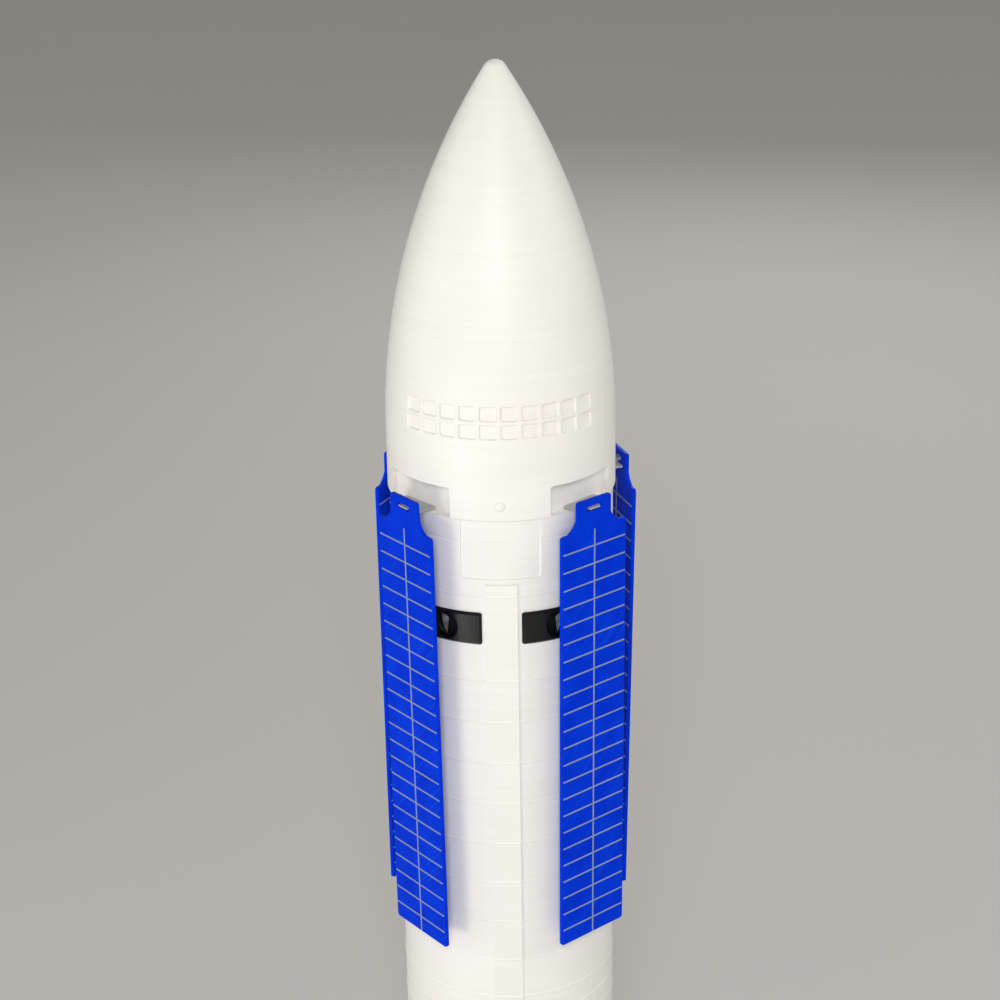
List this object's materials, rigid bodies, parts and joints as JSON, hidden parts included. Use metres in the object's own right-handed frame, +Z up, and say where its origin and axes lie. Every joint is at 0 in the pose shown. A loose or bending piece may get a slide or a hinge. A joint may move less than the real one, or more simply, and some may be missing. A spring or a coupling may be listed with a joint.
{
  "type": "model lunar lander rocket",
  "caption": "Desktop model of a tall round lunar lander rocket with an ogive nose, window rows, hanging blue solar panels, dark thruster pods, engines and splayed landing legs.",
  "frame": {"origin": "on the rocket's axis at the level of the feet's undersides", "axes": "+Z up along the rocket's axis to the nose tip; the cargo door and the windows face -Y"},
  "size_m": [0.1096, 0.1096, 0.5206],
  "materials": {
    "white_print": "satin printed plastic",
    "blue_print": "satin printed plastic",
    "silver_print": "satin silver-grey printed plastic",
    "black_print": "satin black printed plastic"
  },
  "bodies": {
    "hull": {"nose_section": "white_print", "barrel_upper": "white_print", "barrel_lower": "white_print", "skirt": "white_print", "engine_plate": "silver_print", "engine_inner_1": "silver_print", "engine_inner_2": "silver_print", "engine_inner_3": "silver_print", "engine_outer_1": "silver_print", "engine_outer_2": "silver_print", "engine_outer_3": "silver_print", "bracket_front_right": "silver_print", "bracket_side_right": "silver_print", "bracket_rear": "silver_print", "bracket_side_left": "silver_print", "bracket_front_left": "silver_print", "pod_front_right": "black_print", "pod_rear_right": "black_print", "pod_rear_left": "black_print", "pod_front_left": "black_print", "leg_front_right": "white_print", "leg_rear_right": "white_print", "leg_rear_left": "white_print", "leg_front_left": "white_print", "foot_front_right": "white_print", "foot_rear_right": "white_print", "foot_rear_left": "white_print", "foot_front_left": "white_print"},
    "solar_front_right": {"panel_front_right": "blue_print"},
    "solar_side_right": {"panel_side_right": "blue_print"},
    "solar_rear": {"panel_rear": "blue_print"},
    "solar_side_left": {"panel_side_left": "blue_print"},
    "solar_front_left": {"panel_front_left": "blue_print"}
  },
  "joints": [
    {"name": "swing_front_right", "type": "hinge", "parent": "hull", "child": "solar_front_right", "pos_m": [0.03628, -0.03628, 0.3521], "axis": [-0.7349, -0.6782, 0], "range_deg": [0, 30]},
    {"name": "swing_side_right", "type": "hinge", "parent": "hull", "child": "solar_side_right", "pos_m": [0.04831, 0.02031, 0.3519], "axis": [0.3338, -0.9426, 0], "range_deg": [0, 30]},
    {"name": "swing_rear", "type": "hinge", "parent": "hull", "child": "solar_rear", "pos_m": [0, 0.0512, 0.3528], "axis": [1, 0, 0], "range_deg": [0, 30]},
    {"name": "swing_side_left", "type": "hinge", "parent": "hull", "child": "solar_side_left", "pos_m": [-0.04375, 0.02229, 0.3528], "axis": [0.4321, 0.9018, 0], "range_deg": [0, 30]},
    {"name": "swing_front_left", "type": "hinge", "parent": "hull", "child": "solar_front_left", "pos_m": [-0.03726, -0.03726, 0.3534], "axis": [-0.6143, 0.7891, 0], "range_deg": [0, 30]}
  ]
}
